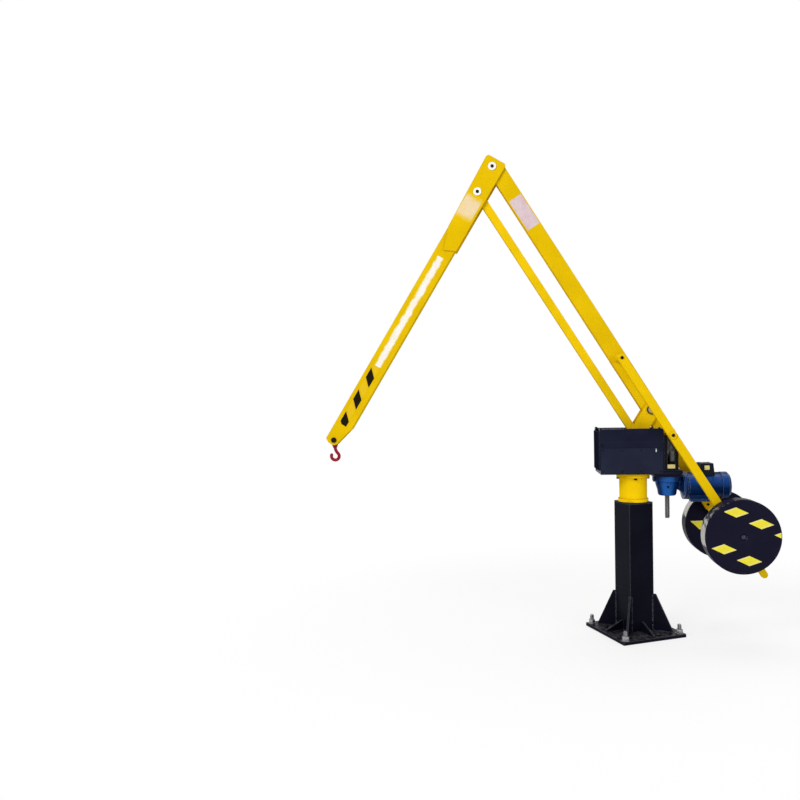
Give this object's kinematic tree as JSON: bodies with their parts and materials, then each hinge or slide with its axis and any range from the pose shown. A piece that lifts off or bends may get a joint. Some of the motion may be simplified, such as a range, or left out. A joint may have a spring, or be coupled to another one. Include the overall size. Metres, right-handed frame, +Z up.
{
  "type": "balance crane",
  "caption": "Floor-mounted balance crane: slewing column head, screw lift, two-arm parallelogram jib with disc counterweights and a load hook.",
  "frame": {"origin": "on the floor at the column's axis, at the underside of the floor plate", "axes": "+Z up; the arms lie in the XZ plane, with the hook towards -X and the counterweights towards +X"},
  "size_m": [2.7114, 0.5722, 2.969],
  "materials": {
    "yellow_paint": "gloss",
    "black_paint": "gloss",
    "disc_paint": "satin",
    "blue_paint": "gloss",
    "terminal_plastic": "matte",
    "buffer_nylon": "matte",
    "bare_steel": "satin",
    "pin_steel": "satin",
    "hook_paint": "gloss"
  },
  "bodies": {
    "base": {"base_plate": "black_paint", "column": "black_paint", "column_cap": "black_paint", "corner_gussets": "black_paint", "face_ribs": "black_paint"},
    "head": {"neck_collar": "yellow_paint", "neck_tube": "yellow_paint", "neck_flange": "yellow_paint", "bed_plate": "black_paint", "front_guide_rail": "black_paint", "back_guide_rail": "black_paint", "front_housing": "black_paint", "back_housing": "black_paint", "side_covers": "black_paint", "left_end_plate": "black_paint", "front_guide_cheek": "black_paint", "back_guide_cheek": "black_paint", "slot_buffers": "buffer_nylon", "rear_tie_plate": "black_paint", "gear_adapter": "black_paint", "gear_housing": "blue_paint", "motor_flange": "blue_paint", "motor_body": "blue_paint", "fan_cover": "blue_paint", "terminal_box": "terminal_plastic"},
    "carriage": {"carriage_fork": "bare_steel", "slide_blocks": "bare_steel", "lead_screw": "bare_steel"},
    "pivot": {"boom_pin": "pin_steel"},
    "boom": {"boom": "yellow_paint", "bar_spacers": "yellow_paint", "front_counterweight_bar": "yellow_paint", "back_counterweight_bar": "yellow_paint", "front_counterweight_slide": "yellow_paint", "back_counterweight_slide": "yellow_paint", "front_counterweight_disc": "disc_paint", "back_counterweight_disc": "disc_paint"},
    "forearm": {"forearm": "yellow_paint", "elbow_plates": "yellow_paint", "forearm_pins": "pin_steel"},
    "link": {"link_plates": "yellow_paint", "link_pins": "pin_steel"},
    "tie": {"tie_bar": "yellow_paint"},
    "rollers": {"guide_rollers": "bare_steel"},
    "hook": {"hook": "hook_paint"}
  },
  "joints": [
    {"name": "slew", "type": "hinge", "parent": "base", "child": "head", "pos_m": [0, 0, 0.811], "axis": [0, 0, 1], "range_deg": [-180, 180]},
    {"name": "screw_lift", "type": "slide", "parent": "head", "child": "carriage", "axis": [0, 0, 1], "range_m": [-0.0642, 0.0741]},
    {"name": "boom_lift", "type": "hinge", "parent": "carriage", "child": "pivot", "pos_m": [0.206, 0, 1.224], "axis": [0, 1, 0], "range_deg": [-22.8, 19.8]},
    {"name": "roller_travel", "type": "slide", "parent": "head", "child": "rollers", "axis": [1, 0, 0], "range_m": [-0.0693, 0.0533]},
    {"name": "boom_reach", "type": "hinge", "parent": "pivot", "child": "boom", "pos_m": [0.206, 0, 1.224], "axis": [0, 1, 0], "range_deg": [-13.3, 10.3]},
    {"name": "elbow", "type": "hinge", "parent": "boom", "child": "forearm", "pos_m": [-0.84351, 0, 2.89707], "axis": [0, 1, 0], "range_deg": [-20.29, 26.29]},
    {"name": "link_swing", "type": "hinge", "parent": "boom", "child": "link", "pos_m": [0.11059, 0, 1.3761], "axis": [0, 1, 0], "range_deg": [-20.29, 26.29]},
    {"name": "tie_swing", "type": "hinge", "parent": "forearm", "child": "tie", "pos_m": [-0.93679, 0, 2.74365], "axis": [0, 1, 0], "range_deg": [-26.29, 20.29]},
    {"name": "hook_swing", "type": "hinge", "parent": "forearm", "child": "hook", "pos_m": [-1.86956, 0, 1.20951], "axis": [0, 1, 0], "range_deg": [-70, 70]}
  ],
  "couplings": [
    {"joint": "boom_lift", "follows": "screw_lift", "rad_per_m": -5.2998},
    {"joint": "boom_reach", "follows": "roller_travel", "rad_per_m": 3.2731},
    {"joint": "elbow", "follows": "roller_travel", "rad_per_m": -6.5462},
    {"joint": "link_swing", "follows": "roller_travel", "rad_per_m": -6.5462},
    {"joint": "tie_swing", "follows": "roller_travel", "rad_per_m": 6.5462}
  ]
}
